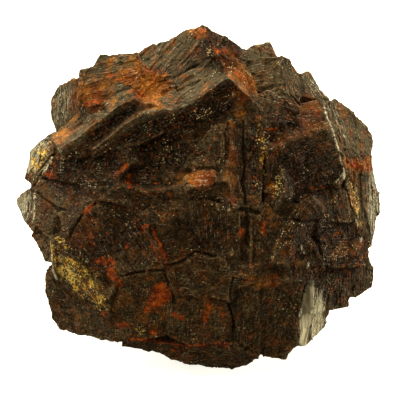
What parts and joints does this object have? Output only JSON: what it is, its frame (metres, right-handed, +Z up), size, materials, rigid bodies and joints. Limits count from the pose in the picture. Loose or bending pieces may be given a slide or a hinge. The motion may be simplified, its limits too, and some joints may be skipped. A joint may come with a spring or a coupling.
{
  "type": "pyrite specimen",
  "caption": "Rounded cluster of intergrown blocky pyrite crystals, weathered dark brown with rust in the gaps, that rests on its own lowest crystal faces.",
  "frame": {"origin": "on the floor, below the middle of the specimen's box", "axes": "+Z up, +X to the right across the broad face, -Y out of the broad face towards the viewer"},
  "size_m": [0.061, 0.0576, 0.0563],
  "materials": {
    "weathered_pyrite": "dark brown weathered crystal faces with a dull sheen, rust in the gaps and small brassy gold patches"
  },
  "bodies": {
    "root": {"pyrite_cluster": "weathered_pyrite"}
  },
  "joints": []
}
